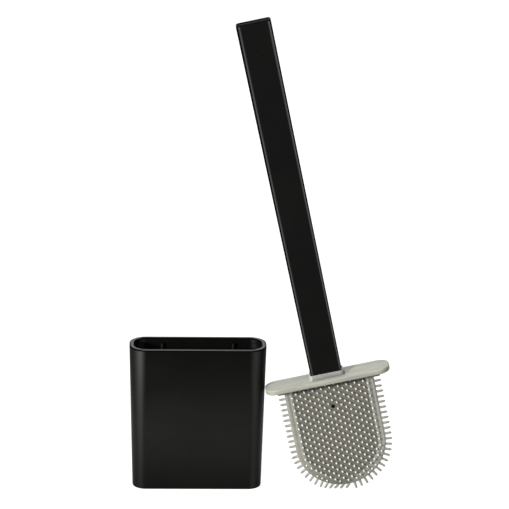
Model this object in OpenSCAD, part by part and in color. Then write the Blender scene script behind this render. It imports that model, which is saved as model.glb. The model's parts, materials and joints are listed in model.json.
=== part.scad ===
// Slim toilet brush holder with its flat-headed brush standing beside it.
// The holder stands on z = 0, its base centred on the origin.
// +X points to the brush, -Y to the front and +Z up.

/* [Holder] */
// Width of the holder across its rim
holder_w = 111; // [96:1:140]
// Depth of the holder across its rim
holder_d = 34; // [32:1:60]
// Height of the holder
holder_h = 121.8; // [110:0.1:160]
// Corner radius of the holder at its rim
holder_r = 13.6; // [12:0.2:15]
// Moulding draft: how far each side leans in from rim to base
holder_draft = 2.7; // [0.5:0.1:4]
// Wall thickness below the rim band
holder_wall = 2.6; // [2:0.1:3.4]
// Thickness of the holder's floor
floor_t = 3; // [2:0.1:5]
// Thickness of the rim band
rim_w = 4; // [3.6:0.1:5]
// Broken edge at the rim and at the base
holder_edge = 1; // [0.4:0.1:1.5]
// Distance of each collar rib from the middle
rib_x = 29; // [15:1:32]
// Thickness of a collar rib
rib_t = 2; // [1.4:0.1:3]
// Height of a collar rib
rib_h = 30; // [10:1:60]
// How far a rib stands in past the rim band
rib_seat = 1.6; // [1:0.1:2.5]

/* [Handle] */
// Length of the handle above the collar
handle_l = 295.2; // [200:0.1:340]
// Width of the handle at its foot
handle_w = 25.8; // [22:0.2:34]
// Depth of the handle at its foot
handle_d = 12; // [11:0.2:16]
// Radius of the long edges at the foot
handle_r = 1.6; // [1.2:0.1:2.4]
// Growth of each side from foot to top
handle_flare = 1; // [0.2:0.1:2]
// Wall thickness of the two half shells
handle_wall = 2; // [1.6:0.1:2.4]
// Broken edge round the top end
handle_edge = 1.6; // [0.6:0.1:2]
// Depth of the alignment lip between the half shells
lip_h = 1.2; // [0.6:0.1:2]
// Radius of a closing peg
peg_r = 1.5; // [1:0.1:2]

/* [Spine] */
// Width of the spine's tang
tang_w = 18; // [12:0.5:19]
// Thickness of the tang and of the head's core
spine_t = 2.4; // [1.6:0.1:3]
// Length of tang inside the handle
tang_l = 58; // [40:1:90]

/* [Collar] */
// Thickness of the drip collar's plate
collar_t = 4.3; // [2.6:0.1:5]
// Gap between each end of the stored collar and the rim
collar_end_gap = 0.3; // [0.2:0.1:1]
// Gap between each long side of the stored collar and the rim
collar_side_gap = 1.2; // [0.3:0.1:2]
// Rounded-over edge of the collar
collar_edge = 1; // [0.4:0.1:1.2]
// Height of the seat that the handle stands on
seat_h = 3.9; // [2:0.1:6]
// How far the seat stands out round the handle's foot
seat_lip = 2; // [0.8:0.1:3]

/* [Head] */
// Width of the head without its bristles
head_w = 74; // [60:0.2:80]
// Length of the head from the collar to its rounded end
head_l = 92.7; // [80:0.1:110]
// Thickness of the head's border
border_t = 6; // [5:0.2:7]
// Width of the head's border
border_w = 3.6; // [3:0.1:6]
// Thickness of the rubber web on each face of the core
web_t = 1; // [0.6:0.1:1.6]
// Radius of the moulding pin's hole in each web
pin_r = 1.5; // [1:0.1:2]
// Row of face bristles that the pin hole interrupts
pin_row = 7; // [3:2:13]
// Distance of the pin hole below that row
pin_drop = 0.6; // [0:0.1:1]
// Radius of the head's rolled top edge
neck_r = 1.5; // [1.5:0.1:2.4]
// Gap between the collar and the head's rolled top edge
neck_gap = 0.3; // [0.3:0.1:1]

/* [Bristles] */
// Length of a face bristle
face_l = 3; // [2:0.1:4.5]
// Root radius of a face bristle
face_r = 0.75; // [0.5:0.05:0.8]
// Tip radius of a bristle
tip_r = 0.6; // [0.3:0.05:0.7]
// Distance between face bristles along a row
column_pitch = 6.94; // [5:0.01:9]
// Distance between rows of face bristles
row_pitch = 2.76; // [2.2:0.01:4]
// Distance of the first row below the handle's foot
first_row = 10.8; // [10.8:0.1:16]
// Bare margin between the border and the roots of the outermost face bristles
field_gap = 0.1; // [0.1:0.1:3]
// Length of an edge bristle
edge_l = 5.2; // [3:0.1:7]
// Distance of the first edge bristle below the handle's foot
first_edge = 12.4; // [11.5:0.1:18]
// Spaces between edge bristles along each straight side
side_count = 11; // [6:1:16]
// Spaces between edge bristles round the curved end
arc_count = 26; // [16:1:32]

/* [Standing] */
// Lean of the brush towards the holder
lean = 12.5; // [4:0.1:20]
// Distance of the brush in front of the holder's middle
brush_front = 10; // [0:0.5:14]
// Gap between the collar's end and the holder's side
side_gap = 0.3; // [0.3:0.1:2]
// Height of the head's rounded end above the floor
foot_gap = 3.2; // [1.5:0.1:4.5]

/* [Hidden] */
$fn = 64;
eps = 0.01;
fit_gap = 0.1;

// Holder: how far its side has moved out at height z, from the size at the base
base_w = holder_w - 2 * holder_draft;
base_d = holder_d - 2 * holder_draft;
base_r = holder_r - holder_draft;
side_h = holder_h - 2 * holder_edge;
rim_z = holder_h - collar_t;
function flare(z) = holder_draft * (z - holder_edge) / side_h;

// Collar: fits the rim's opening and stands on the four ribs
collar_w = holder_w - 2 * rim_w - 2 * collar_end_gap;
collar_d = holder_d - 2 * rim_w - 2 * collar_side_gap;
collar_r = holder_r - rim_w - collar_end_gap;
seat_w = handle_w + 2 * seat_lip;
seat_d = handle_d + 2 * seat_lip;

// Head: hinge line at the neck, centre of the rounded end, and the core inside the border
head_r = head_w / 2;
hinge_z = -seat_h - collar_t - neck_gap - neck_r;
arc_z = -seat_h - collar_t - head_l + head_r;
web_r = head_r - border_w;
core_r = head_r - border_w / 2;
web_y = spine_t / 2 + web_t;
field_r = web_r - field_gap - face_r;
pin_z = -first_row - pin_row * row_pitch - pin_drop;

// Standing place of the brush: foot on the floor, collar's end beside the holder
touch_drop = seat_h + collar_edge;
foot_z = head_r + foot_gap - arc_z * cos(lean);
touch_z = foot_z - collar_w / 2 * sin(lean) - touch_drop * cos(lean);
touch_r = base_r + flare(touch_z);
flat_gap = max(0, brush_front - (holder_d / 2 - holder_r) - (collar_d / 2 - collar_r));
touch_reach = sqrt(pow(touch_r + collar_r + side_gap, 2) - pow(flat_gap, 2));
foot_x = holder_w / 2 - holder_r + touch_reach - collar_r
    + collar_w / 2 * cos(lean) - touch_drop * sin(lean);

// Moves a piece from the brush's own frame, with its origin at the handle's foot
module standing() {
    translate([foot_x, -brush_front, foot_z]) rotate([0, -lean, 0]) children();
}

// Block with round corners whose sides lean out by grow over its height
module flared_block(w, d, r, grow, h) {
    for (x = [-1, 1], y = [-1, 1])
        translate([x * (w / 2 - r), y * (d / 2 - r), 0]) cylinder(h = h, r1 = r, r2 = r + grow);
    rotate([90, 0, 0]) linear_extrude(d - 2 * r, center = true)
        polygon([[-w / 2, 0], [w / 2, 0], [w / 2 + grow, h], [-w / 2 - grow, h]]);
    rotate([90, 0, 90]) linear_extrude(w - 2 * r, center = true)
        polygon([[-d / 2, 0], [d / 2, 0], [d / 2 + grow, h], [-d / 2 - grow, h]]);
}

// Slab in the brush's plane: straight sides from z_top down to a half-round end
module u_slab(r, z_top, t) {
    translate([-r, -t / 2, arc_z]) cube([2 * r, t, z_top - arc_z]);
    translate([0, 0, arc_z]) rotate([90, 0, 0]) cylinder(h = t, r = r, center = true);
}

module holder_hollow(inset, z0, z1) {
    translate([0, 0, z0]) flared_block(base_w - 2 * inset + 2 * flare(z0),
        base_d - 2 * inset + 2 * flare(z0), base_r - inset + flare(z0), flare(z1) - flare(z0), z1 - z0);
}

module holder_outside() {
    flared_block(base_w - 2 * holder_edge, base_d - 2 * holder_edge, base_r - holder_edge,
        holder_edge, holder_edge);
    translate([0, 0, holder_edge]) flared_block(base_w, base_d, base_r, holder_draft, side_h);
    translate([0, 0, holder_h - holder_edge])
        flared_block(holder_w, holder_d, holder_r, -holder_edge, holder_edge);
}

module holder_shell() color("#1c1c1b") {
    rib_y = holder_d / 2 - rim_w - rib_seat;
    rib_top = rim_z + collar_t / 2;
    difference() {
        union() {
            difference() {
                holder_outside();
                holder_hollow(holder_wall, floor_t, rim_z);
            }
            for (x = [-1, 1], y = [-1, 1])
                translate([x * rib_x - rib_t / 2, y > 0 ? rib_y : -rib_y - rim_w, rim_z - rib_h])
                    cube([rib_t, rim_w, rib_top - rim_z + rib_h]);
        }
        // the ribs end where the collar sits, level with the underside of the rim band
        holder_hollow(rim_w, rim_z - eps, holder_h + eps);
    }
}

module handle_outside() {
    top_z = handle_l - handle_edge;
    grow = handle_flare * top_z / handle_l;
    flared_block(handle_w, handle_d, handle_r, grow, top_z);
    translate([0, 0, top_z]) flared_block(handle_w + 2 * grow, handle_d + 2 * grow, handle_r + grow,
        -handle_edge, handle_edge);
}

// Square-cornered space inside the handle, inset from its outside, from z0 to z1
module handle_space(inset, z0, z1) {
    w0 = handle_w / 2 - inset + handle_flare * z0 / handle_l;
    w1 = handle_w / 2 - inset + handle_flare * z1 / handle_l;
    d0 = handle_d / 2 - inset + handle_flare * z0 / handle_l;
    d1 = handle_d / 2 - inset + handle_flare * z1 / handle_l;
    intersection() {
        rotate([90, 0, 0]) linear_extrude(2 * handle_w, center = true)
            polygon([[-w0, z0], [w0, z0], [w1, z1], [-w1, z1]]);
        rotate([90, 0, 90]) linear_extrude(2 * handle_w, center = true)
            polygon([[-d0, z0], [d0, z0], [d1, z1], [-d1, z1]]);
    }
}

module handle_inside() {
    handle_space(handle_wall, handle_wall, handle_l - handle_wall - handle_edge);
}

module tang_bar(gap) {
    translate([-tang_w / 2 - gap, -spine_t / 2 - gap, -seat_h - collar_t])
        cube([tang_w + 2 * gap, spine_t + 2 * gap, seat_h + collar_t + tang_l + gap]);
}

// Heights of the pegs through the tang and of those that close the shells above it
tang_pegs = [tang_l * 0.3, tang_l * 0.8];
shell_pegs = [for (i = [1:3]) tang_l + i * (handle_l - tang_l) / 4];
peg_zs = concat(tang_pegs, shell_pegs);
grip_zs = [tang_l * 0.15, tang_l * 0.5, tang_l * 0.95];
grip_t = 2;
sleeve_wall = 1.2;
top_cut = handle_wall / 2 + handle_edge;
// Middle of a half shell's wall at height z
function wall_y(z) = handle_d / 2 - handle_wall / 2 + handle_flare * z / handle_l;

// Rod across the handle at height z, from depth y0 to y1
module cross_rod(z, r, y0, y1) {
    translate([0, y0, z]) rotate([-90, 0, 0]) cylinder(h = y1 - y0, r = r);
}

// One half of the hollow handle with its webs that grip the tang: side -1 is the front, 1 the back
module handle_half(side) {
    span = 2 * handle_w;
    near = spine_t / 2 + fit_gap;
    intersection() {
        difference() {
            handle_outside();
            handle_inside();
            tang_bar(fit_gap);
        }
        translate([-span / 2, side > 0 ? 0 : -span, -eps]) cube([span, span, handle_l + 2 * eps]);
    }
    for (z = grip_zs)
        translate([-tang_w / 2, side > 0 ? near : -wall_y(z), z])
            cube([tang_w, wall_y(z) - near, grip_t]);
}

module handle_front() color("#191918") standing() {
    difference() {
        handle_half(-1);
        // rabbet for the back shell's lip
        intersection() {
            handle_space(handle_wall / 2 - fit_gap, handle_wall / 2, handle_l - top_cut);
            translate([-handle_w, -lip_h - fit_gap, 0]) cube([2 * handle_w, 2 * lip_h, handle_l]);
        }
    }
    for (z = peg_zs) cross_rod(z, peg_r, -wall_y(z), handle_d / 4);
}

module handle_back() color("#191918") standing() {
    handle_half(1);
    // lip that enters the front shell
    intersection() {
        difference() {
            handle_space(handle_wall / 2, handle_wall / 2 + fit_gap, handle_l - top_cut - fit_gap);
            handle_inside();
            tang_bar(fit_gap);
        }
        translate([-handle_w, -lip_h, 0]) cube([2 * handle_w, lip_h + eps, handle_l]);
    }
    // sleeves that take the front shell's pegs
    for (z = peg_zs) difference() {
        cross_rod(z, peg_r + sleeve_wall, spine_t / 2 + fit_gap, wall_y(z));
        cross_rod(z, peg_r + fit_gap, 0, handle_d / 4 + fit_gap);
    }
}

module spine_tang() color("#141413") standing() difference() {
    tang_bar(0);
    for (z = tang_pegs) cross_rod(z, peg_r + fit_gap, -spine_t, spine_t);
}

module drip_collar() color("#b4b5a8") standing() difference() {
    union() {
        translate([0, 0, -seat_h - collar_edge])
            flared_block(collar_w, collar_d, collar_r, -collar_edge, collar_edge);
        translate([0, 0, -seat_h - collar_t + collar_edge])
            flared_block(collar_w, collar_d, collar_r, 0, collar_t - 2 * collar_edge);
        translate([0, 0, -seat_h - collar_t]) flared_block(collar_w - 2 * collar_edge,
            collar_d - 2 * collar_edge, collar_r - collar_edge, collar_edge, collar_edge);
        translate([0, 0, -seat_h])
            flared_block(seat_w, seat_d, handle_r + seat_lip, -seat_lip / 2, seat_h);
    }
    tang_bar(fit_gap);
}

module head_core() color("#141413") standing() u_slab(core_r, hinge_z, spine_t);

module head_border() color("#b4b5a8") standing() {
    difference() {
        u_slab(head_r, hinge_z, border_t);
        u_slab(web_r, hinge_z + eps, border_t + 2 * eps);
        u_slab(core_r + eps, hinge_z + eps, spine_t + 2 * eps);
    }
    // rolled top edge, round about the hinge line
    intersection() {
        translate([0, 0, hinge_z]) rotate([0, 90, 0])
            cylinder(h = head_w, r = neck_r, center = true);
        translate([-head_w, -border_t, hinge_z]) cube([2 * head_w, 2 * border_t, border_t]);
    }
}

module web(side) {
    difference() {
        translate([0, side * (spine_t + web_t) / 2, 0]) u_slab(web_r - eps, hinge_z, web_t);
        translate([0, 0, pin_z]) rotate([90, 0, 0])
            cylinder(h = border_t, r = pin_r, center = true);
    }
}

module front_web() color("#6e6c60") standing() web(-1);

module back_web() color("#6e6c60") standing() web(1);

// Face bristle roots: staggered rows inside the border, leaving the pin hole free
row_count = floor((head_l + seat_h + collar_t - first_row) / row_pitch);
half_columns = ceil(field_r / column_pitch);
function in_field(x, z) = (z > arc_z ? abs(x) : norm([x, z - arc_z])) <= field_r
    && norm([x, z - pin_z]) > pin_r + face_r;
face_roots = [for (row = [0:row_count], col = [-half_columns:half_columns])
    let (x = (col + ((row + 1) % 2) / 2) * column_pitch, z = -first_row - row * row_pitch)
    if (in_field(x, z)) [x, z]];

module face_bristles(side) {
    for (root = face_roots) translate([root[0], side * web_y, root[1]]) rotate([-side * 90, 0, 0])
        cylinder(h = face_l, r1 = face_r, r2 = tip_r);
}

module front_bristles() color("#a8a898") standing() face_bristles(-1);

module back_bristles() color("#a8a898") standing() face_bristles(1);

// Edge bristles: a place is [x, z, direction], with the direction measured from straight down.
// Those that the floor presses are bent over towards the holder.
side_top = -first_edge;
side_pitch = (side_top - arc_z) / side_count;
side_places = [for (i = [0:side_count - 1], s = [-1, 1])
    [s * head_r, side_top - i * side_pitch, s * 90]];
function lowest(a) = head_r + foot_gap - head_r * cos(a + lean);
function pressed(a) = lowest(a) - edge_l * cos(a + lean) < tip_r;
function spread(a) = -acos((lowest(a) - tip_r) / edge_l) - lean;
arc_angles = [for (i = [0:arc_count]) -90 + 180 * i / arc_count];
arc_places = [for (a = arc_angles) if (!pressed(a)) [head_r * sin(a), arc_z - head_r * cos(a), a]];
foot_places = [for (a = arc_angles) if (pressed(a))
    [head_r * sin(a), arc_z - head_r * cos(a), spread(a)]];

module edge_row(places, back) {
    for (p = places) translate([p[0], 0, p[1]]) rotate([0, -p[2], 0])
        translate([0, 0, -edge_l]) cylinder(h = edge_l + back, r = tip_r);
}

module edge_bristles() color("#8e8e82") standing() difference() {
    edge_row(concat(side_places, arc_places), 0);
    translate([0, 0, arc_z]) rotate([90, 0, 0]) cylinder(h = border_t, r = head_r + eps, center = true);
}

module foot_bristles() color("#8e8e82") standing() difference() {
    edge_row(foot_places, 2 * tip_r);
    translate([0, 0, arc_z]) rotate([90, 0, 0]) cylinder(h = border_t, r = head_r + eps, center = true);
}

holder_shell();
handle_front();
handle_back();
spine_tang();
drip_collar();
head_core();
head_border();
front_web();
back_web();
front_bristles();
back_bristles();
edge_bristles();
foot_bristles();
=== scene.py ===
"""Looks of a slim toilet brush holder and the flat-headed rubber brush that stands beside it.

Sizes are in millimetres in the brush's or the holder's own frame and become metres as a mesh is made.
"""

import json
import math

import bmesh
import bpy
from mathutils import Matrix, Vector


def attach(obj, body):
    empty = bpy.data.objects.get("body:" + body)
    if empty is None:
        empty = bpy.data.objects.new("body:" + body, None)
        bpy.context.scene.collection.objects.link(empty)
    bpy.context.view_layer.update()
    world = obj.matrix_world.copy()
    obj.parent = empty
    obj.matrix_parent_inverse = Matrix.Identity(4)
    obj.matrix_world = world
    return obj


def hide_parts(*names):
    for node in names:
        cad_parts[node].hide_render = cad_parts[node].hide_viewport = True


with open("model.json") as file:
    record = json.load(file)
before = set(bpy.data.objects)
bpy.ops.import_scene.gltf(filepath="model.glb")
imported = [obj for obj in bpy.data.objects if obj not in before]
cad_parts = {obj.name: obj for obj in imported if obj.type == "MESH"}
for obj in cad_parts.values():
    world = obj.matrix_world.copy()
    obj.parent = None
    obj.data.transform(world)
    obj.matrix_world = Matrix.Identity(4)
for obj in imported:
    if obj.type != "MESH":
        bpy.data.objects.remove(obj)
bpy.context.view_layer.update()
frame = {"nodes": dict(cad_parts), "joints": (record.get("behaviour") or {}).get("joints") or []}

MM = 0.001
HOLD = 0.35  # distance of a holding loop from the edge it keeps crisp
CORNER_STEPS = 12  # faces round each corner of a rounded rectangle
TOUCH = 0.01  # how near a height counts as the same

# ---------------------------------------------------------------- sizes, mm
# Holder: box and corner radius; draft, wall, floor and width of the rim; underside of the thicker rim band
HOLDER_W, HOLDER_D, HOLDER_H, HOLDER_R = 111.0, 34.0, 121.8, 13.6
DRAFT, WALL, FLOOR_T, RIM_W = 2.7, 2.6, 3.0, 4.0
RIM_Z = 117.5
# its ribs: distance from the middle, thickness, length and distance of their faces from the middle
RIB_X, RIB_T, RIB_L, RIB_Y = 29.0, 2.0, 30.0, 11.4
# its rounded edges: foot, outside of the rim, mouth, underside of the band and round the inner floor
FOOT_R, RIM_R, MOUTH_R, BAND_R, INNER_R = 1.1, 0.75, 0.6, 0.3, 2.2

# Handle: box at its foot and radius of its long edges; how far each side leans out; wall; radius of its top
HANDLE_L, HANDLE_W, HANDLE_D, HANDLE_R = 295.2, 25.8, 12.0, 1.6
HANDLE_FLARE, HANDLE_WALL, HANDLE_TOP_R = 1.0, 2.0, 1.6

# Collar: plate and its height; the seat under the handle and how far its top leans in; the slot for the tang
COLLAR_W, COLLAR_D, COLLAR_R = 102.4, 23.6, 9.3
COLLAR_LOW, COLLAR_TOP = -8.2, -3.9
SEAT_W, SEAT_D, SEAT_R, SEAT_LEAN = 29.8, 16.0, 3.6, 1.0
TANG_W, TANG_T = 18.2, 2.6

# Head: line it bends on and middle of its round end; radii of border, web and core; half thicknesses of core
# and web; radius of the rolled top; the hole that the moulding pin leaves
HINGE_Z, ARC_Z = -10.0, -63.9
HEAD_R, WEB_R, CORE_R = 37.0, 33.4, 35.2
CORE_Y, WEB_Y, NECK_R = 1.2, 2.2, 1.5
PIN_Z, PIN_R = -30.72, 1.5

# Face bristles: length and radii; their staggered grid; how far out the whole and the half-sunk ones stand
FACE_L, FACE_ROOT_R, TIP_R = 3.0, 0.8, 0.66
COLUMN_PITCH, ROW_PITCH, FIRST_ROW, ROWS = 6.94, 2.76, -10.8, 32
FIELD_R, CREST_FIELD_R = 32.55, 34.6

# Edge bristles: length, height of the first, spaces down each side and round the end, depth of their roots
EDGE_L, FIRST_EDGE, SIDE_SPACES, ARC_SPACES = 5.2, -12.4, 11, 26
EDGE_ROOT_DEPTH = 0.3

# The brush's own frame: its origin is the middle of the handle's foot, x runs along the hinge
flex = next(j for j in frame["joints"] if j["name"] == "head_flex")
along_x = Vector(flex["axis"]).normalized()
along_z = Vector((-along_x.z, 0, along_x.x))
foot = Vector(flex["pos_m"]) - along_z * HINGE_Z * MM
BRUSH = Matrix((
    (along_x.x * MM, 0, along_z.x * MM, foot.x),
    (0, MM, 0, foot.y),
    (along_x.z * MM, 0, along_z.z * MM, foot.z),
    (0, 0, 0, 1),
))
BRUSH_LEAN = math.asin(along_x.z)
HOLDER = Matrix.Scale(MM, 4)


# ---------------------------------------------------------------- mesh helpers
def finish_mesh(name, bm, place, material, body, slot, *nodes):
    """Puts a millimetre mesh in its place and makes it a smooth piece that rides on a body."""
    bmesh.ops.remove_doubles(bm, verts=bm.verts, dist=0.0005)
    bmesh.ops.recalc_face_normals(bm, faces=bm.faces)
    for face in bm.faces:
        face.smooth = True
    bm.transform(place)
    mesh = bpy.data.meshes.new(name)
    bm.to_mesh(mesh)
    bm.free()
    piece = bpy.data.objects.new(name, mesh)
    bpy.context.scene.collection.objects.link(piece)
    mesh.materials.append(material)
    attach(piece, body)
    if nodes:
        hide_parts(*nodes)
    return piece


def rounded_ring(w, d, r, z, steps=CORNER_STEPS):
    """Points round a rounded rectangle, with a holding point beyond each end of a corner."""
    points = []
    for turn in range(4):
        start = turn * math.pi / 2
        cx = (w / 2 - r) * (1 if turn in (0, 3) else -1)
        cy = (d / 2 - r) * (1 if turn in (0, 1) else -1)
        spots = [(start + math.pi / 2 * i / steps, 0) for i in range(steps + 1)]
        spots = [(start, -HOLD)] + spots + [(start + math.pi / 2, HOLD)]
        for angle, slide in spots:
            points.append((
                cx + r * math.cos(angle) - slide * math.sin(angle),
                cy + r * math.sin(angle) + slide * math.cos(angle),
                z,
            ))
    return points


def arc(cx, cy, r, start, stop, steps=5):
    """Points of an arc between two angles in degrees."""
    angles = [math.radians(start + (stop - start) * i / steps) for i in range(steps + 1)]
    return [(cx + r * math.cos(a), cy + r * math.sin(a)) for a in angles]


def loft(bm, rings, looped=False):
    """Skins closed rings of equal count, and closes the two ends or joins them."""
    rows = [[bm.verts.new(p) for p in ring] for ring in rings]
    pairs = list(zip(rows, rows[1:]))
    if looped:
        pairs.append((rows[-1], rows[0]))
    for low, high in pairs:
        count = len(low)
        for i in range(count):
            j = (i + 1) % count
            bm.faces.new((low[i], low[j], high[j], high[i]))
    if not looped:
        bm.faces.new(rows[0][::-1])
        bm.faces.new(rows[-1])
    return rows


# ---------------------------------------------------------------- material helpers
MATH, VECTOR, SPAN, MIX = (
    "ShaderNodeMath", "ShaderNodeVectorMath", "ShaderNodeMapRange", "ShaderNodeMix",
)
NOISE, ATTRIBUTE = "ShaderNodeTexNoise", "ShaderNodeAttribute"
SHARE, UNDER, OVER = 0, 6, 7  # sockets of a colour mix: share of the second colour, and the two colours
FIRST, SECOND = 2, 3  # the same two sockets of a number mix
LOW, HIGH = 0.3, 0.7  # the range that nearly all of a noise keeps to


def rgb(code):
    """An sRGB hex colour as linear RGBA."""
    values = [int(code[i:i + 2], 16) / 255 for i in (1, 3, 5)]
    linear = [v / 12.92 if v <= 0.04045 else ((v + 0.055) / 1.055) ** 2.4 for v in values]
    return (*linear, 1.0)


def add(tree, kind, inputs=(), **settings):
    """Adds a node with its settings and inputs, which come in the node's own order or by name or number.

    Each is a plain value, a hex colour, an output socket, or a node that gives its first output in use.
    """
    made = tree.nodes.new(kind)
    for key, value in settings.items():
        setattr(made, key, value)
    for key, value in inputs.items() if isinstance(inputs, dict) else enumerate(inputs):
        if isinstance(value, bpy.types.Node):
            value = next(socket for socket in value.outputs if socket.enabled)
        if isinstance(value, bpy.types.NodeSocket):
            tree.links.new(value, made.inputs[key])
            continue
        if isinstance(value, str) and value.startswith("#"):
            value = rgb(value)
        made.inputs[key].default_value = value
    return made


def new_material(name):
    """An empty material and its tree."""
    material = bpy.data.materials.new(name)
    material.use_nodes = True
    tree = material.node_tree
    tree.nodes.clear()
    return material, tree


# ---------------------------------------------------------------- black plastic
def moulded_black(name, base, wear, roughness, grain_mm, specular):
    """Injection-moulded black plastic.

    The flow of the melt leaves a slow cloud in tone and sheen, the mould's skin a fine grain that softens
    the highlights, drawn coarser than the real one so that it shows, and a few specks of dust lie on it. A
    mesh attribute paints light on it: above zero it raises the specular level, a painted highlight that
    shows as a light line, and below zero it darkens the tone and lowers the IOR, painted shade that shows as
    dark.
    """
    cloud_mm, dust_mm, grain_depth_mm = 38.0, 14.0, 0.02
    speck_core, speck_rim = 0.012, 0.03  # shares of the distance from one speck of dust to the next
    painted_outline_ior, plastic_ior = 1.08, 1.5
    material, tree = new_material(name)
    place = add(tree, "ShaderNodeTexCoord").outputs["Object"]
    painted_light = add(tree, ATTRIBUTE, attribute_name="painted_light").outputs["Fac"]
    cloud = add(tree, NOISE, {"Vector": place, "Scale": 1 / cloud_mm / MM, "Detail": 2.0, "Roughness": 0.55})
    grain = add(tree, NOISE, {"Vector": place, "Scale": 1 / grain_mm / MM, "Detail": 2.0, "Roughness": 0.55})
    dust = add(tree, "ShaderNodeTexVoronoi", {"Vector": place, "Scale": 1 / (dust_mm * MM)})
    flow = add(tree, SPAN, (cloud, LOW, HIGH, 0.0, 1.0))
    speck = add(tree, SPAN, (dust, speck_core, speck_rim, 1.0, 0.0))
    # below zero the attribute paints shade: a tone near black and a low IOR, a painted dark outline
    painted_outline = add(tree, SPAN, (painted_light, -1.0, 0.0, 1.0, 0.0))
    tone = add(tree, MIX, {SHARE: flow, UNDER: base, OVER: wear}, data_type="RGBA")
    tone = add(tree, MIX, {SHARE: speck, UNDER: tone, OVER: "#5a5a56"}, data_type="RGBA")
    tone = add(tree, MIX, {SHARE: painted_outline, UNDER: tone, OVER: "#020202"}, data_type="RGBA")
    shader = add(tree, "ShaderNodeBsdfPrincipled", {
        "Base Color": tone,
        "Roughness": add(tree, SPAN, (cloud, LOW, HIGH, roughness - 0.03, roughness + 0.04)),
        "Normal": add(tree, "ShaderNodeBump", {
            "Height": grain, "Distance": grain_depth_mm * MM, "Strength": 0.35,
        }),
        "IOR": add(tree, SPAN, (painted_light, -0.9, -0.3, painted_outline_ior, plastic_ior)),
        # above zero the attribute paints a highlight by raising the specular level towards full
        "Specular IOR Level": add(tree, SPAN, (painted_light, 0.0, 1.0, specular, 1.0)),
    })
    add(tree, "ShaderNodeOutputMaterial", {"Surface": shader})
    return material


# ABS from a mould with a satin skin: an even near-black with broad, faint highlights
HOLDER_ABS = moulded_black("abs_satin_moulded_black", "#0b0b0a", "#0e0e0d", 0.42, 0.45, 0.01)
# ABS from a smoother mould: a shade lighter, with tighter highlights
HANDLE_ABS = moulded_black("abs_polished_moulded_black", "#111111", "#141413", 0.36, 0.6, 0.01)
# polypropylene as it leaves the mould: deep, dull black
SPINE_PP = moulded_black("pp_moulded_black", "#070707", "#0a0a09", 0.5, 0.5, 0.05)


# ---------------------------------------------------------------- soft rubber
def finish_rubber(tree, place, tone, roughness, glow):
    """Gives a rubber its skin: a fine relief breaks the sheen, and light glows a little way under it."""
    relief_mm, relief_depth_mm, glow_mm = 0.9, 0.05, 1.2
    skin = add(tree, NOISE, {"Vector": place, "Scale": 1 / relief_mm / MM, "Detail": 2.0, "Roughness": 0.55})
    shader = add(tree, "ShaderNodeBsdfPrincipled", {
        "Base Color": tone,
        "Roughness": add(tree, SPAN, (skin, LOW, HIGH, roughness - 0.05, roughness + 0.08)),
        "Normal": add(tree, "ShaderNodeBump", {
            "Height": skin, "Distance": relief_depth_mm * MM, "Strength": 0.3,
        }),
        "IOR": 1.48, "Subsurface Weight": glow, "Subsurface Radius": (1.0, 0.95, 0.8),
        "Subsurface Scale": glow_mm * MM,
    })
    add(tree, "ShaderNodeOutputMaterial", {"Surface": shader})


def clear_rubber(name, thin, thick, attribute, roughness, glow, streak=0.06):
    """Translucent thermoplastic rubber, moulded: grey where it is thin and milky where it is thick.

    A mesh attribute says how milky each spot is, and on the collar, the border and the face bristles it also
    carries painted shade and painted highlights; long flow lines across the brush drift it by streak.
    """
    flow_mm, flow_stretch = 2.6, 8
    material, tree = new_material(name)
    place = add(tree, "ShaderNodeTexCoord").outputs["Object"]
    own = add(tree, ATTRIBUTE, attribute_name=attribute).outputs["Fac"]
    across = add(tree, "ShaderNodeMapping", {
        "Vector": place, "Rotation": (0, -BRUSH_LEAN, 0), "Scale": (flow_stretch, 1, 1),
    }, vector_type="TEXTURE")
    flow = add(tree, NOISE, {"Vector": across, "Scale": 1 / flow_mm / MM, "Detail": 3.0, "Roughness": 0.55})
    drift = add(tree, SPAN, (flow, LOW, HIGH, -streak, streak))
    milk_and_light = add(tree, MATH, (own, drift), operation="ADD", use_clamp=True)
    tone = add(tree, MIX, {SHARE: milk_and_light, UNDER: thin, OVER: thick}, data_type="RGBA")
    finish_rubber(tree, place, tone, roughness, glow)
    return material


def web_rubber(name, thin, thick, roughness):
    """Thin rubber skin on the black core: mottled grey, with painted shade, near black, at the neck and
    round the pin's hole.
    """
    cloud_mm, neck_mm, neck_fade_mm, hole_gap_mm, hole_fade_mm = 9.0, 3.0, 1.3, 0.1, 0.35
    material, tree = new_material(name)
    place = add(tree, "ShaderNodeTexCoord").outputs["Object"]
    cloud = add(tree, NOISE, {"Vector": place, "Scale": 1 / cloud_mm / MM, "Detail": 3.0, "Roughness": 0.55})
    mottle = add(tree, SPAN, (cloud, LOW, HIGH, 0.35, 0.8))
    height = add(tree, VECTOR, (place, along_z), operation="DOT_PRODUCT")
    # painted shade under the collar's edge, near black at the neck
    neck = along_z.dot(foot) + (HINGE_Z - neck_mm) * MM
    neck_painted_shade = add(tree, SPAN, (height, neck - neck_fade_mm * MM, neck, 0.0, 1.0))
    # painted shade round the rim of the pin's hole
    away = add(tree, VECTOR, (place, foot + along_z * PIN_Z * MM), operation="SUBTRACT")
    away = add(tree, VECTOR, (away, (1, 0, 1)), operation="MULTIPLY")
    away = add(tree, VECTOR, (away,), operation="LENGTH")
    hole_painted_shade = add(tree, SPAN, (away, (PIN_R + hole_gap_mm) * MM, (PIN_R + hole_fade_mm) * MM, 1.0, 0.0))
    tone = add(tree, MIX, {SHARE: mottle, UNDER: thin, OVER: thick}, data_type="RGBA")
    tone = add(tree, MIX, {SHARE: neck_painted_shade, UNDER: tone, OVER: "#0b0b09"}, data_type="RGBA")
    tone = add(tree, MIX, {SHARE: hole_painted_shade, UNDER: tone, OVER: "#0b0b0a"}, data_type="RGBA")
    finish_rubber(tree, place, tone, roughness, 0.0)
    return material


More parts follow.
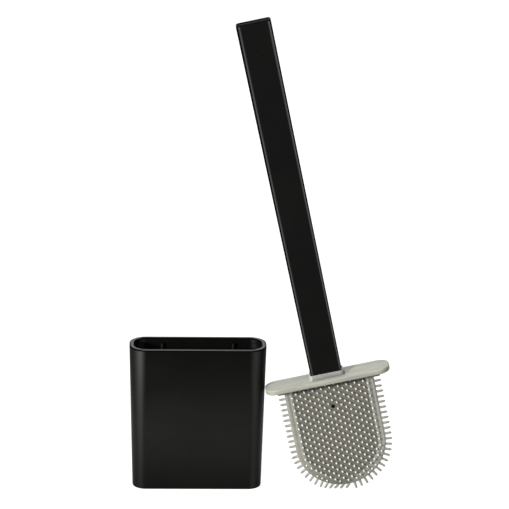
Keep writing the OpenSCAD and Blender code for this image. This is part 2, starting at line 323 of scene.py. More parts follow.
# Rubber moulded solid: a pale, cloudy grey with long flow lines; its thin grey is painted shade on the
# seat's wall
COLLAR_TPR = clear_rubber("tpr_moulded_clear_grey", "#626163", "#bcbcab", "depth", 0.38, 0.3, 0.14)
# Rubber moulded over the core's edge: light where it stands thick, dark where the core is near, with painted
# shade in its groove, down its left side and towards the head's foot, and painted light on the right's outer
# band
BORDER_TPR = clear_rubber("tpr_overmoulded_border", "#68675d", "#c8c6bc", "depth", 0.4, 0.1)
# Rubber moulded thin over the core's faces: the core turns it a dark, mottled grey, with painted shade at
# the neck and round the pin's hole
WEB_TPR = web_rubber("tpr_thin_skin_on_core", "#5a584f", "#6f6d63", 0.45)
# Rubber moulded as tapered bristles: dark at the root and painted nearly white at the tip, a painted
# highlight where the tips catch the light
FACE_TPR = clear_rubber("tpr_bristle_tapered", "#77756a", "#f4f4ec", "along", 0.35, 0.3)
# Rubber moulded as the stouter edge bristles: an even, solid grey
EDGE_TPR = clear_rubber("tpr_bristle_edge", "#9c9a91", "#918f87", "along", 0.4, 0.1)


# ---------------------------------------------------------------- holder
# Painted sheen on the holder's sides: a patch low on the faces, and a lobe down each corner that grows with
# height
PATCH_LEVEL, PATCH_Z, PATCH_SPREAD = 0.115, 48, 40
PATCH_LEFT_END, PATCH_RIGHT_END = 120, 225  # degrees round from the faces at which the patch would be gone
LOBE_TURN, LOBE_SPREAD, LOBE_START = 20, 18, 12  # degrees round from the faces
LOBE_LEFT, LOBE_RIGHT = (0.11, 0.0026), (0.14, 0.0010)  # level at the foot and gain for each millimetre up
# Painted highlight lines on the rim's flat: outside and inside of the ends, and outside of the faces
END_OUTSIDE, END_INSIDE = 0.4, 1.0
FRONT_LEFT, FRONT_RIGHT, REAR = 0.8, 0.45, 0.3
# The rim's rounding: a painted highlight at the top in front, fading to a painted dark outline
ROUNDING_TOP, ROUNDING_HIGH, PAINTED_DARK_OUTLINE = 0.6, 0.3, -0.9


def holder_lean(z):
    """How far the drafted side stands in from the rim's outline at height z."""
    return DRAFT * (1 - (z - 1) / (HOLDER_H - 2))


def holder_profile():
    """Inset and height of each ring, from under the base up the side, over the rim and down to the floor."""
    under_flat, inner_flat, band_hold = 8.0, 6.0, 0.4
    sheen_rings = (12.0, 30.0, 50.0, 70.0, 90.0)
    profile = [(holder_lean(0) + under_flat, 0.0), (holder_lean(0) + FOOT_R + HOLD, 0.0)]
    profile += arc(holder_lean(FOOT_R) + FOOT_R, FOOT_R, FOOT_R, 270, 180)
    profile += [(holder_lean(FOOT_R + HOLD), FOOT_R + HOLD)]
    # rings up the side carry the slow change of its painted sheen
    profile += [(holder_lean(z), z) for z in (*sheen_rings, HOLDER_H - RIM_R - HOLD)]
    profile += arc(RIM_R, HOLDER_H - RIM_R, RIM_R, 180, 90)
    profile += [(RIM_R + HOLD, HOLDER_H), (RIM_W - MOUTH_R - HOLD, HOLDER_H)]
    profile += arc(RIM_W - MOUTH_R, HOLDER_H - MOUTH_R, MOUTH_R, 90, 0)
    profile += [(RIM_W, HOLDER_H - MOUTH_R - HOLD), (RIM_W, RIM_Z + band_hold)]
    profile += arc(RIM_W - BAND_R, RIM_Z + BAND_R, BAND_R, 0, -90, 3)
    inner = holder_lean(RIM_Z) + WALL
    profile += [(inner + BAND_R, RIM_Z), (inner, RIM_Z)]
    profile += [(holder_lean(RIM_Z - BAND_R) + WALL, RIM_Z - BAND_R)]
    bottom = FLOOR_T + INNER_R
    profile += [(holder_lean(bottom + 1) + WALL, bottom + 1)]
    profile += arc(holder_lean(bottom) + WALL + INNER_R, bottom, INNER_R, 180, 270)
    inner = holder_lean(FLOOR_T) + WALL
    profile += [(inner + INNER_R + HOLD, FLOOR_T), (inner + inner_flat, FLOOR_T)]
    return profile


def holder_painted_light(x, y, z, inset, turned):
    """Value of the painted-light attribute at a spot on the cup. turned is in degrees, from 0 on the faces
    to 90 on the ends.
    """
    left, front = x < 0, y < 0
    on_end = abs(x) > HOLDER_W / 2 - HOLDER_R * 0.7
    if z > HOLDER_H - TOUCH:
        # the rim's flat: a painted highlight along the outside of the faces, and most of all along the
        # inside of the ends
        if inset >= RIM_W - MOUTH_R:
            return 0.0
        outside = inset < RIM_W / 2
        if on_end:
            return END_OUTSIDE if outside else END_INSIDE
        near = (FRONT_LEFT if left else FRONT_RIGHT) if front else REAR
        return near if outside else 0.0
    if inset >= WALL + DRAFT:
        return 0.0
    edge = (z - (HOLDER_H - RIM_R)) / RIM_R
    if edge > -0.1:
        # the rim's roundings, outside and at the mouth: a painted dark outline all round, under a painted
        # highlight line in front
        if on_end or not front or edge <= 0.7:
            return PAINTED_DARK_OUTLINE
        return ROUNDING_TOP if edge > 0.9 else ROUNDING_HIGH
    # painted sheen: a patch low on the faces and a lobe down each corner
    patch = PATCH_LEVEL * math.exp(-((z - PATCH_Z) / PATCH_SPREAD) ** 2)
    patch *= 1 - turned / (PATCH_LEFT_END if left else PATCH_RIGHT_END)
    level, gain = LOBE_LEFT if left else LOBE_RIGHT
    lobe = (level + gain * z) * math.exp(-((turned - LOBE_TURN) / LOBE_SPREAD) ** 2)
    return max(lobe * min(turned / LOBE_START, 1), patch)


def holder_ribs(bm, painted_light):
    """Four upright ribs on the inner long walls. Their tops carry the stored collar."""
    rib_d, rib_r, rib_steps = RIM_W, 0.4, 3
    foot_chamfer, top_chamfer, top_gap = 0.4, 0.25, 0.02
    # painted sheen on the ribs, stronger on each rib's left half
    left_painted_sheen, right_painted_sheen = 0.06, 0.03
    bottom = RIM_Z - RIB_L
    levels = [(bottom, foot_chamfer), (bottom + foot_chamfer, 0)]
    levels += [(RIM_Z - BAND_R, 0), (RIM_Z - top_gap, top_chamfer)]
    for side_x in (-1, 1):
        for side_y in (-1, 1):
            middle_x = side_x * RIB_X
            middle_y = side_y * (RIB_Y + rib_d / 2)
            rings = []
            for z, inset in levels:
                ring = rounded_ring(RIB_T - 2 * inset, rib_d - 2 * inset, rib_r, z, rib_steps)
                rings.append([(x + middle_x, y + middle_y, z) for x, y, z in ring])
            for row in loft(bm, rings):
                for vert in row:
                    vert[painted_light] = left_painted_sheen if vert.co.x < middle_x else right_painted_sheen


def holder_cup():
    """Cup with drafted walls, a thicker rim band, rounded edges and four ribs for the stored collar."""
    least_r = 0.6
    profile = holder_profile()
    bm = bmesh.new()
    # an attribute of painted light: painted highlights and painted dark outlines over the cup
    painted_light = bm.verts.layers.float.new("painted_light")
    rings = []
    for inset, z in profile:
        r = max(HOLDER_R - inset, least_r)
        rings.append(rounded_ring(HOLDER_W - 2 * inset, HOLDER_D - 2 * inset, r, z))
    for row, (inset, z) in zip(loft(bm, rings), profile):
        for i, vert in enumerate(row):
            turn, step = divmod(i, CORNER_STEPS + 3)
            share = min(max(step - 1, 0), CORNER_STEPS) / CORNER_STEPS
            turned = 90 * (1 - share if turn % 2 == 0 else share)
            vert[painted_light] = holder_painted_light(vert.co.x, vert.co.y, z, inset, turned)
    holder_ribs(bm, painted_light)
    return finish_mesh("holder_cup", bm, HOLDER, HOLDER_ABS, "holder", "holder_plastic", "holder_shell")


# ---------------------------------------------------------------- handle
# Painted light across half of the handle's section, from the seam on its side to its face: painted shade on
# the side, a painted dark outline round the long edge, and a thin painted highlight line where that edge
# meets the face
SIDE_PAINTED_SHADE = [-0.5] * 4
LEFT_PAINTED_LIGHT = SIDE_PAINTED_SHADE + [-0.9, -0.9, -0.9, -0.9, -0.5, 0.25, 0.9] + [0.3, 0.0]
RIGHT_PAINTED_LIGHT = SIDE_PAINTED_SHADE + [-0.9, -0.9, -0.9, -0.5, 0.6, 0.9, 0.3] + [0.0, 0.0]
# painted shade over the handle's rounded top
TOP_PAINTED_SHADE = -0.6  # the rounded top is dark all round


def handle_half(name, side, node):
    """Half shell of the hollow handle, with rounded edges and a parting chamfer. side -1 is the front."""
    seam, foot_break, edge_steps, face_step = 0.15, 0.2, 6, 0.8
    dark_from = HANDLE_TOP_R * 0.25

    def section(z, inset, hollow):
        """Ring of the half shell at height z. A hollow one goes round the room inside the handle."""
        grow = HANDLE_FLARE * min(z, HANDLE_L) / HANDLE_L
        w = HANDLE_W / 2 + grow - inset
        d = HANDLE_D / 2 + grow - inset
        r = HANDLE_R + grow - inset
        half = [(w - seam, 0.0), (w, seam), (w, seam + HOLD), (w, d - r - HOLD)]
        half += arc(w - r, d - r, r, 0, 90, edge_steps)
        half += [(w - r - HOLD, d), (w - r - HOLD - face_step, d)]
        outside = half + [(-x, y) for x, y in reversed(half)]
        inner_w = w + inset - HANDLE_WALL
        inner_d = d + inset - HANDLE_WALL if hollow else 0.0
        inside = [(-inner_w, 0.0), (-inner_w, inner_d), (inner_w, inner_d), (inner_w, 0.0)]
        return [(x, side * y, z) for x, y in outside + inside]

    low, high, top = HANDLE_WALL, HANDLE_L - 2 * HANDLE_WALL, HANDLE_L - HANDLE_TOP_R
    levels = [(0.0, foot_break, False), (foot_break, 0, False), (foot_break + HOLD, 0, False)]
    levels += [(low, 0, False), (low, 0, True), (high, 0, True), (high, 0, False)]
    levels += [(top - HOLD, 0, False)]
    levels += [(top + y, HANDLE_TOP_R - x, False) for x, y in arc(0, 0, HANDLE_TOP_R, 0, 90, 6)]
    bm = bmesh.new()
    painted_light = bm.verts.layers.float.new("painted_light")
    for row, (z, inset, hollow) in zip(loft(bm, [section(*level) for level in levels]), levels):
        # painted highlight lines and painted dark outlines round the section
        painted_row = RIGHT_PAINTED_LIGHT + LEFT_PAINTED_LIGHT[::-1]
        if inset > dark_from:
            painted_row = [min(value, TOP_PAINTED_SHADE) for value in painted_row]
        for vert, value in zip(row, painted_row + [0.0] * 4):
            vert[painted_light] = value
    return finish_mesh(name, bm, BRUSH, HANDLE_ABS, "brush", "handle_plastic", node)


# ---------------------------------------------------------------- collar
def drip_collar():
    """Flat drip collar with rounded edges, the raised seat under the handle and the slot for the tang."""
    edge_r, seat_foot, seat_top_r, least_r = 1.1, 0.35, 0.45, 0.3
    slot_r, slot_break = 0.3, 0.3
    plate_milk, plate_edge_painted_shade = 0.62, 0.6
    seat_left_milk, seat_low_painted_shade, seat_wall_painted_shade, seat_low_z = 0.62, 0.04, 0.4, -1.2
    skin, edge_w = 0.1, 1.0

    def plate(inset, z):
        """Ring on the collar's plate."""
        return rounded_ring(COLLAR_W - 2 * inset, COLLAR_D - 2 * inset, COLLAR_R - inset, z)

    def seat(inset, z):
        """Ring on the seat."""
        return rounded_ring(SEAT_W - 2 * inset, SEAT_D - 2 * inset, max(SEAT_R - inset, least_r), z)

    def slot(z, grow=0.0):
        """Ring in the tang's slot, or wider by grow where the slot's edge is broken."""
        return rounded_ring(TANG_W + 2 * grow, TANG_T + 2 * grow, slot_r + grow, z)

    rings = [slot(COLLAR_LOW), slot(COLLAR_LOW, slot_break), plate(edge_r + HOLD, COLLAR_LOW)]
    rings += [plate(edge_r - x, COLLAR_LOW + edge_r + y) for x, y in arc(0, 0, edge_r, -90, 0)]
    rings += [plate(edge_r - x, COLLAR_TOP - edge_r + y) for x, y in arc(0, 0, edge_r, 0, 90)]
    rings += [plate(edge_r + HOLD, COLLAR_TOP), seat(-seat_foot - HOLD, COLLAR_TOP)]
    rings += [seat(-seat_foot + x, COLLAR_TOP + seat_foot + y) for x, y in arc(0, 0, seat_foot, -90, 0)]
    rings += [seat(SEAT_LEAN - 0.15, -seat_top_r - HOLD)]
    rings += [seat(SEAT_LEAN + seat_top_r - x, -seat_top_r + y) for x, y in arc(0, 0, seat_top_r, 0, 90)]
    rings += [seat(SEAT_LEAN + seat_top_r + HOLD, 0.0), slot(0.0, slot_break), slot(0.0)]
    bm = bmesh.new()
    depth = bm.verts.layers.float.new("depth")
    for row in loft(bm, rings, looped=True):
        for vert in row:
            x, y, z = vert.co
            if COLLAR_TOP + skin < z < -skin:
                # the seat's wall keeps the plate's milkiness at its left end, and elsewhere carries painted
                # shade, darkest low down
                at_left = x < -SEAT_W / 2 + SEAT_R * 0.6
                vert[depth] = seat_left_milk if at_left else seat_low_painted_shade if z < seat_low_z else seat_wall_painted_shade
            else:
                # a touch of painted shade on the plate's long rounded edges
                on_edge = abs(y) > COLLAR_D / 2 - edge_w
                vert[depth] = plate_edge_painted_shade if on_edge else plate_milk
    return finish_mesh("drip_collar_rubber", bm, BRUSH, COLLAR_TPR, "brush", "soft_rubber", "drip_collar")


# ---------------------------------------------------------------- border of the head
def u_stations():
    """Point functions of the radius, from one top corner of the head round its end to the other."""
    straight, turn = 14, 56
    stations = []
    for i in range(straight):
        z = HINGE_Z + (ARC_Z - HINGE_Z) * i / straight
        stations.append(lambda r, z=z: (-r, z))
    for i in range(turn + 1):
        a = -math.pi / 2 + math.pi * i / turn
        stations.append(lambda r, a=a: (r * math.sin(a), ARC_Z - r * math.cos(a)))
    for i in range(straight):
        z = ARC_Z + (HINGE_Z - ARC_Z) * (i + 1) / straight
        stations.append(lambda r, z=z: (r, z))
    return stations


def border_roll(bm, depth):
    """Rolled top edge of the border, round about the hinge line, with rounded ends."""
    end_r, roll_milk, roll_steps = 0.9, 0.36, 14
    shoulder = end_r * 0.3
    ends = [(-HEAD_R, end_r), (-HEAD_R + shoulder, shoulder), (-HEAD_R + end_r, 0)]
    ends += [(-x, cut) for x, cut in reversed(ends)]
    rings = []
    for x, cut in ends:
        rings.append([(x, y, z) for y, z in arc(0, HINGE_Z, NECK_R - cut, 0, 180, roll_steps)])
    for row in loft(bm, rings):
        for vert in row:
            vert[depth] = roll_milk


def head_border():
    """Border moulded round the core's edge: a raised crest inside and a band that falls away outwards.

    Towards the head's foot the crest sinks and painted shade darkens the rubber, at its own pace on each
    side. Painted shade also lies in the groove and down the left side, and the right's outer band is painted
    lighter.
    """
    lip, crest_end, least_crest = 30.2, 34.5, 0.2
    groove_in, groove_out, groove_rise = 33.2, 34.9, 36
    # left and right: powers by which the crest and the painted shade towards the foot fall away, and how
    # dark the painted shade in the groove gets
    left_fall, right_fall, right_foot_shade = 1.6, 2.6, 0.5
    left_groove_shade, right_groove_shade = 0.7, 0.2
    # painted shade on the left side, and on the right a darker crest and a lighter outer band, painted light
    left_painted_shade, right_crest_painted_shade, right_band_painted_light, crest_r = 0.45, 0.4, 1.1, 33
    # radius, half thickness and milkiness of the points of half the section, from the core outwards; the
    # dips at the groove are partly thinner rubber and partly painted shade
    half = [(CORE_R, CORE_Y, 0.3), (WEB_R, CORE_Y, 0.3), (WEB_R, WEB_Y, 0.4), (lip, WEB_Y, 0.5),
        (lip + 0.05, WEB_Y + 0.08, 0.55), (30.6, 2.55, 0.75), (31.1, 2.85, 0.8), (31.8, 3.0, 0.85),
        (32.4, 2.97, 0.85), (32.9, 2.8, 0.75), (33.3, 2.5, 0.5), (33.8, 2.28, 0.45), (34.5, 2.15, 0.55),
        (35.2, 2.0, 0.7), (35.8, 1.8, 0.6), (36.3, 1.48, 0.8), (36.7, 1.02, 1.0), (36.93, 0.5, 1.0),
        (HEAD_R, 0.12, 1.0)]
    section = half + [(r, -y, milk_and_shade) for r, y, milk_and_shade in reversed(half)]
    bm = bmesh.new()
    depth = bm.verts.layers.float.new("depth")
    rings, marks = [], []
    for station in u_stations():
        x, z = station(HEAD_R)
        left = x < 0
        # 1 along the straight sides, and 0 at the very foot
        level = math.cos(math.atan2(ARC_Z - z, abs(x))) if z < ARC_Z else 1.0
        crest = level ** (left_fall if left else right_fall)
        foot_shade = crest if left else level ** right_foot_shade
        upper = min(max((z - ARC_Z) / groove_rise, 0), 1)
        groove_shade = 1 - (left_groove_shade if left else right_groove_shade) * upper
        ring, mark = [], []
        for r, y, milk_and_shade in section:
            if lip <= r < crest_end and abs(y) > WEB_Y:
                raised = (abs(y) - WEB_Y) * (least_crest + (1 - least_crest) * crest)
                y = math.copysign(WEB_Y + raised, y)
            station_x, station_z = station(r)
            ring.append((station_x, y, station_z))
            # painted light by side, times painted shade towards the foot and in the groove
            side_painted_light = left_painted_shade if left else right_crest_painted_shade if r < crest_r else right_band_painted_light
            mark.append(milk_and_shade * foot_shade * side_painted_light * (groove_shade if groove_in < r < groove_out else 1))
        rings.append(ring)
        marks.append(mark)
    for row, mark in zip(loft(bm, rings), marks):
        for vert, value in zip(row, mark):
            vert[depth] = value
    border_roll(bm, depth)
    return finish_mesh("head_border_rubber", bm, BRUSH, BORDER_TPR, "head", "soft_rubber", "head_border")


# ---------------------------------------------------------------- bristles
def bristle_tree():
    """Geometry nodes that grow one tapered, round-tipped bristle from each root point."""
    gather, dome_share, least_dome, fillet_share = 1.8, 0.4, 0.06, 0.2
    tree = bpy.data.node_groups.new("bristle_rows", "GeometryNodeTree")
    face = tree.interface
    face.new_socket("Roots", in_out="INPUT", socket_type="NodeSocketGeometry")
    kinds = {"Length": "Float", "Root Radius": "Float", "Tip Radius": "Float", "Flare": "Float",
        "Wander": "Float", "Rings": "Int", "Sides": "Int", "Seed": "Int", "Material": "Material"}
    ids = {}
    for label, kind in kinds.items():
        ids[label] = face.new_socket(label, in_out="INPUT", socket_type="NodeSocket" + kind).identifier
    face.new_socket("Bristles", in_out="OUTPUT", socket_type="NodeSocketGeometry")
    given = add(tree, "NodeGroupInput").outputs

    # a straight line stands on each root
    wander = add(tree, "FunctionNodeRandomValue", {
        0: (-1, -1, -1), 1: (1, 1, 1), "Seed": given["Seed"],
    }, data_type="FLOAT_VECTOR")
    roots = add(tree, "GeometryNodeStoreNamedAttribute", {
        "Geometry": given["Roots"], "Name": "wander", "Value": wander,
    }, data_type="FLOAT_VECTOR", domain="POINT")
    line = add(tree, "GeometryNodeCurvePrimitiveLine", {"Start": (0, 0, 0), "End": (0, 0, MM)})
    line = add(tree, "GeometryNodeResampleCurve", {"Curve": line, "Count": given["Rings"]})
    copies = add(tree, "GeometryNodeInstanceOnPoints", {"Points": roots, "Instance": line})
    curves = add(tree, "GeometryNodeRealizeInstances", {"Geometry": copies})

    # its points gather towards the tip, where the dome needs them
    step = add(tree, "GeometryNodeSplineParameter").outputs["Factor"]
    along = add(tree, MATH, (1.0, step), operation="SUBTRACT")
    along = add(tree, MATH, (along, gather), operation="POWER")
    along = add(tree, MATH, (1.0, along), operation="SUBTRACT")

    # they move out along the aim, and bend by the sweep and a little wander as the square of the way along
    aim, sweep, wander = (
        add(tree, "GeometryNodeInputNamedAttribute", {"Name": label}, data_type="FLOAT_VECTOR")
        for label in ("aim", "sweep", "wander")
    )
    position = add(tree, "GeometryNodeInputPosition")
    rise = add(tree, VECTOR, {0: (0, 0, MM), "Scale": step}, operation="SCALE")
    root = add(tree, VECTOR, (position, rise), operation="SUBTRACT")
    reach = add(tree, VECTOR, {0: aim, "Scale": along}, operation="SCALE")
    wander = add(tree, VECTOR, {0: wander, "Scale": given["Wander"]}, operation="SCALE")
    bend = add(tree, VECTOR, (sweep, wander), operation="ADD")
    square = add(tree, MATH, (along, along), operation="MULTIPLY")
    bend = add(tree, VECTOR, {0: bend, "Scale": square}, operation="SCALE")
    reach = add(tree, VECTOR, (reach, bend), operation="ADD")
    reach = add(tree, VECTOR, {0: reach, "Scale": given["Length"]}, operation="SCALE")
    spot = add(tree, VECTOR, (root, reach), operation="ADD")
    placed = add(tree, "GeometryNodeSetPosition", {"Geometry": curves, "Position": spot})

    # the radius tapers, flares into a fillet at the root and closes in a dome at the tip
    taper = add(tree, MIX, {SHARE: along, FIRST: given["Root Radius"], SECOND: given["Tip Radius"]})
    dome = add(tree, MATH, (given["Tip Radius"], dome_share), operation="MULTIPLY")
    dome = add(tree, MATH, (dome, given["Length"]), operation="DIVIDE")
    dome_start = add(tree, MATH, (1.0, dome), operation="SUBTRACT")
    past = add(tree, MATH, (along, dome_start), operation="SUBTRACT")
    past = add(tree, MATH, (past, 0.0), operation="MAXIMUM")
    dome = add(tree, MATH, (1.0, dome_start), operation="SUBTRACT")
    dome = add(tree, MATH, (past, dome), operation="DIVIDE")
    dome = add(tree, MATH, (dome, dome), operation="MULTIPLY")
    dome = add(tree, MATH, (1.0, dome), operation="SUBTRACT")
    dome = add(tree, MATH, (dome, least_dome), operation="MAXIMUM")
    dome = add(tree, MATH, (dome,), operation="SQRT")
    fillet = add(tree, MATH, (along, fillet_share), operation="DIVIDE")
    fillet = add(tree, MATH, (1.0, fillet), operation="SUBTRACT")
    fillet = add(tree, MATH, (fillet, 0.0), operation="MAXIMUM")
    fillet = add(tree, MATH, (fillet, fillet), operation="MULTIPLY")
    fillet = add(tree, MATH, (fillet, given["Flare"]), operation="MULTIPLY")
    radius = add(tree, MATH, (taper, fillet), operation="ADD")
    radius = add(tree, MATH, (radius, dome), operation="MULTIPLY")

    marked = add(tree, "GeometryNodeStoreNamedAttribute", {
        "Geometry": placed, "Name": "along", "Value": along,
    }, data_type="FLOAT", domain="POINT")
    outline = add(tree, "GeometryNodeCurvePrimitiveCircle", {"Resolution": given["Sides"], "Radius": 1.0})
    skin = add(tree, "GeometryNodeCurveToMesh", {
        "Curve": marked, "Profile Curve": outline, "Scale": radius, "Fill Caps": True,
    })
    smooth = add(tree, "GeometryNodeSetShadeSmooth", {"Geometry": skin})
    real = add(tree, "GeometryNodeRealizeInstances", {"Geometry": smooth})
    painted = add(tree, "GeometryNodeSetMaterial", {"Geometry": real, "Material": given["Material"]})
    add(tree, "NodeGroupOutput", {"Bristles": painted})
    return tree, ids


BRISTLE_TREE, BRISTLE_INPUT = bristle_tree()


def grow_bristles(name, roots, material, sizes, node):
    """Grows bristles from (place, aim, sweep) roots in the brush's frame and makes them one plain mesh."""
    turn = BRUSH.to_3x3() * (1 / MM)
    mesh = bpy.data.meshes.new(name + "_roots")
    mesh.from_pydata([BRUSH @ Vector(place) for place, *_ in roots], [], [])
    for label, column in (("aim", 1), ("sweep", 2)):
        values = mesh.attributes.new(label, "FLOAT_VECTOR", "POINT").data
        for i, root in enumerate(roots):
            values[i].vector = turn @ Vector(root[column])
    seedbed = bpy.data.objects.new(name + "_roots", mesh)
    bpy.context.scene.collection.objects.link(seedbed)
    grow = seedbed.modifiers.new("bristles", "NODES")
    grow.node_group = BRISTLE_TREE
    for label, value in sizes.items():
        grow[BRISTLE_INPUT[label]] = value
    grow[BRISTLE_INPUT["Material"]] = material
    graph = bpy.context.evaluated_depsgraph_get()
    grown = seedbed.evaluated_get(graph)
    plain = bpy.data.meshes.new_from_object(grown, preserve_all_data_layers=True, depsgraph=graph)
    seedbed.modifiers.remove(grow)
    bpy.data.objects.remove(seedbed)
    plain.name = name
    piece = bpy.data.objects.new(name, plain)
    bpy.context.scene.collection.objects.link(piece)
    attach(piece, "head")
    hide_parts(node)
    return piece


def face_roots(side):
    """Roots of the staggered rows on one face, of which the outermost stand half sunk in the crest.

    side -1 is the front.
    """
    root_depth, sunk_height, lean_over = 0.1, 0.48, 0.11
    roots = []
    columns = math.ceil(FIELD_R / COLUMN_PITCH)
    for row in range(ROWS + 1):
        z = FIRST_ROW - row * ROW_PITCH
        for column in range(-columns, columns + 1):
            x = (column + ((row + 1) % 2) / 2) * COLUMN_PITCH
            reach = abs(x) if z > ARC_Z else math.hypot(x, z - ARC_Z)
            height = 1.0 if reach <= FIELD_R else sunk_height
            if reach <= CREST_FIELD_R and math.hypot(x, z - PIN_Z) > PIN_R + FACE_ROOT_R:
                place = (x, side * (WEB_Y - root_depth), z)
                roots.append((place, (0, side * height, 0), (-side * lean_over, 0, 0)))
    return roots


def edge_roots():
    """Roots round the border, and those that the floor presses over towards the holder."""
    droop, floor_gap, least_room = 0.25, 0.15, 0.3
    # a pressed bristle spans a bit less than its length, sideways and forward, and keeps some of its aim
    span, to_side, to_front, kept_aim, reach_gain = 0.9, 0.8, 0.5, 0.35, 1.9
    free, pressed = [], []
    root_r = HEAD_R - EDGE_ROOT_DEPTH
    pitch = (FIRST_EDGE - ARC_Z) / SIDE_SPACES
    for i in range(SIDE_SPACES):
        for side in (-1, 1):
            free.append(((side * root_r, 0, FIRST_EDGE - i * pitch), (side, 0, 0), (0, 0, 0)))
    # the room's level and down, in the leaning brush's frame
    level = Vector((-math.cos(BRUSH_LEAN), 0, math.sin(BRUSH_LEAN)))
    down = Vector((-math.sin(BRUSH_LEAN), 0, -math.cos(BRUSH_LEAN)))
    for i in range(ARC_SPACES + 1):
        a = -math.pi / 2 + math.pi * i / ARC_SPACES
        out = Vector((math.sin(a), 0, -math.cos(a)))
        spot = Vector((0, 0, ARC_Z)) + out * root_r
        height = (BRUSH @ spot).z / MM
        drop = math.cos(a + BRUSH_LEAN)
        if height - EDGE_L * drop >= TIP_R:
            free.append((spot, out, (0, -droop * max(drop, 0), 0)))
            continue
        # the tip stays just clear of the floor
        room = max(height - TIP_R - floor_gap, least_room)
        across = math.sqrt(max(EDGE_L ** 2 - room ** 2, 0)) * span
        forward = Vector((0, -across * to_front, 0))
        tip = (level * across * to_side + forward + down * room) / EDGE_L
        straight = out * min(reach_gain * room / EDGE_L / drop, 1.0)
        aim = straight * kept_aim + tip * (1 - kept_aim)
        pressed.append((spot, aim, tip - aim))
    return free, pressed


FACE_SIZES = {"Length": FACE_L * MM, "Root Radius": FACE_ROOT_R * MM, "Tip Radius": TIP_R * MM,
    "Flare": 0.25 * MM, "Wander": 0.03, "Rings": 8, "Sides": 8, "Seed": 3}
EDGE_SIZES = {"Length": (EDGE_L + 0.5) * MM, "Root Radius": 1.0 * MM, "Tip Radius": 0.96 * MM,
    "Flare": 0.2 * MM, "Wander": 0.03, "Rings": 10, "Sides": 10, "Seed": 5}

# ---------------------------------------------------------------- pieces
holder_cup()
handle_half("handle_front_shell", -1, "handle_front")
handle_half("handle_back_shell", 1, "handle_back")
drip_collar()
head_border()
grow_bristles("front_bristle_field", face_roots(-1), FACE_TPR, FACE_SIZES, "front_bristles")
grow_bristles("back_bristle_field", face_roots(1), FACE_TPR, FACE_SIZES, "back_bristles")
free_roots, pressed_roots = edge_roots()
grow_bristles("edge_bristle_row", free_roots, EDGE_TPR, EDGE_SIZES, "edge_bristles")
grow_bristles("foot_bristle_row", pressed_roots, EDGE_TPR, EDGE_SIZES, "foot_bristles")

# pieces whose plain shape is already the real one keep it, and only take a material
PLAIN_PIECES = {"spine_tang": SPINE_PP, "head_core": SPINE_PP, "front_web": WEB_TPR, "back_web": WEB_TPR}
for node, material in PLAIN_PIECES.items():
    mesh = frame["nodes"][node].data
    mesh.materials.clear()
    mesh.materials.append(material)


# ---------------------------------------------------------------- studio
def seen_directly(tree):
    """1 for a ray that shows the backdrop, direct or in a reflection, and 0 for one that lights the set."""
    path = add(tree, "ShaderNodeLightPath").outputs
    seen = add(tree, MATH, (path["Is Camera Ray"], path["Is Glossy Ray"]), operation="MAXIMUM")
    return add(tree, MATH, (seen, path["Is Transmission Ray"]), operation="MAXIMUM")


def studio_floor():
    """Matt pale floor that keeps a soft shadow and glows enough to meet the white background."""
    half_side, glow_strength = 9.0, 0.955
    material, tree = new_material("studio_white_floor")
    paint = add(tree, "ShaderNodeBsdfDiffuse", {"Color": "#868684"})
    strength = add(tree, MATH, (seen_directly(tree), glow_strength), operation="MULTIPLY")
    glow = add(tree, "ShaderNodeEmission", {"Color": (1, 1, 1, 1), "Strength": strength})
    both = add(tree, "ShaderNodeAddShader", (paint, glow))
    add(tree, "ShaderNodeOutputMaterial", {"Surface": both})
    mesh = bpy.data.meshes.new("floor")
    corners = [(-1, -1), (1, -1), (1, 1), (-1, 1)]
    mesh.from_pydata([(x * half_side, y * half_side, 0) for x, y in corners], [], [(0, 1, 2, 3)])
    mesh.materials.append(material)
    floor = bpy.data.objects.new("floor", mesh)
    bpy.context.scene.collection.objects.link(floor)


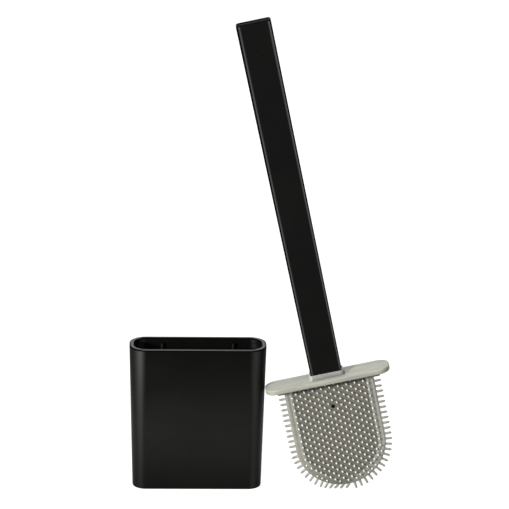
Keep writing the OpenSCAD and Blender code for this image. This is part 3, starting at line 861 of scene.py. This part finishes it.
def studio_world(strength):
    """White background that lights the set by strength only."""
    world = bpy.data.worlds.new("studio")
    world.use_nodes = True
    tree = world.node_tree
    tree.nodes.clear()
    level = add(tree, MIX, {SHARE: seen_directly(tree), FIRST: strength, SECOND: 1.0})
    back = add(tree, "ShaderNodeBackground", {"Color": (1, 1, 1, 1), "Strength": level})
    add(tree, "ShaderNodeOutputWorld", {"Surface": back})
    bpy.context.scene.world = world


def softbox(name, place, aim, width, height, watts):
    """Rectangular softbox at a place, turned to a point."""
    lamp = bpy.data.lights.new(name, "AREA")
    lamp.shape = "RECTANGLE"
    lamp.size, lamp.size_y, lamp.energy = width, height, watts
    box = bpy.data.objects.new(name, lamp)
    box.location = place
    box.rotation_euler = (Vector(aim) - Vector(place)).to_track_quat("-Z", "Y").to_euler()
    box.visible_camera = False
    bpy.context.scene.collection.objects.link(box)
    return box


def camera():
    """Long lens a little above and in front of the pair."""
    data = bpy.data.cameras.new("camera")
    data.sensor_width = 36.0
    data.lens = 183.9
    data.shift_x = -0.00108
    data.shift_y = 0.00094
    made = bpy.data.objects.new("camera", data)
    place = (-0.03085, -1.98261, 0.83746)
    heading, down, roll = -0.0382, 0.312, 0.0179
    made.matrix_world = (
        Matrix.Translation(place)
        @ Matrix.Rotation(heading, 4, "Z")
        @ Matrix.Rotation(math.pi / 2 - down, 4, "X")
        @ Matrix.Rotation(roll, 4, "Z")
    )
    bpy.context.scene.collection.objects.link(made)
    bpy.context.scene.camera = made


studio_floor()
studio_world(0.07)
softbox("key_softbox", (-1.15, -1.3, 0.6), (0.05, 0, 0.08), 0.3, 0.3, 40.0)
softbox("top_softbox", (0.1, -0.25, 1.5), (0.04, 0, 0.1), 0.6, 0.6, 8.5)
softbox("left_strip", (-0.27, -0.23, 0.15), (0, 0, 0.1), 0.06, 0.2, 0.4)
softbox("right_softbox", (0.9, -0.6, 0.6), (0.06, 0, 0.12), 0.5, 0.5, 1.2)
softbox("rear_softbox", (-0.3, 1.5, 0.7), (0.05, 0, 0.12), 0.6, 0.6, 12.0).visible_glossy = False
camera()
bpy.context.scene.view_settings.view_transform = "Standard"
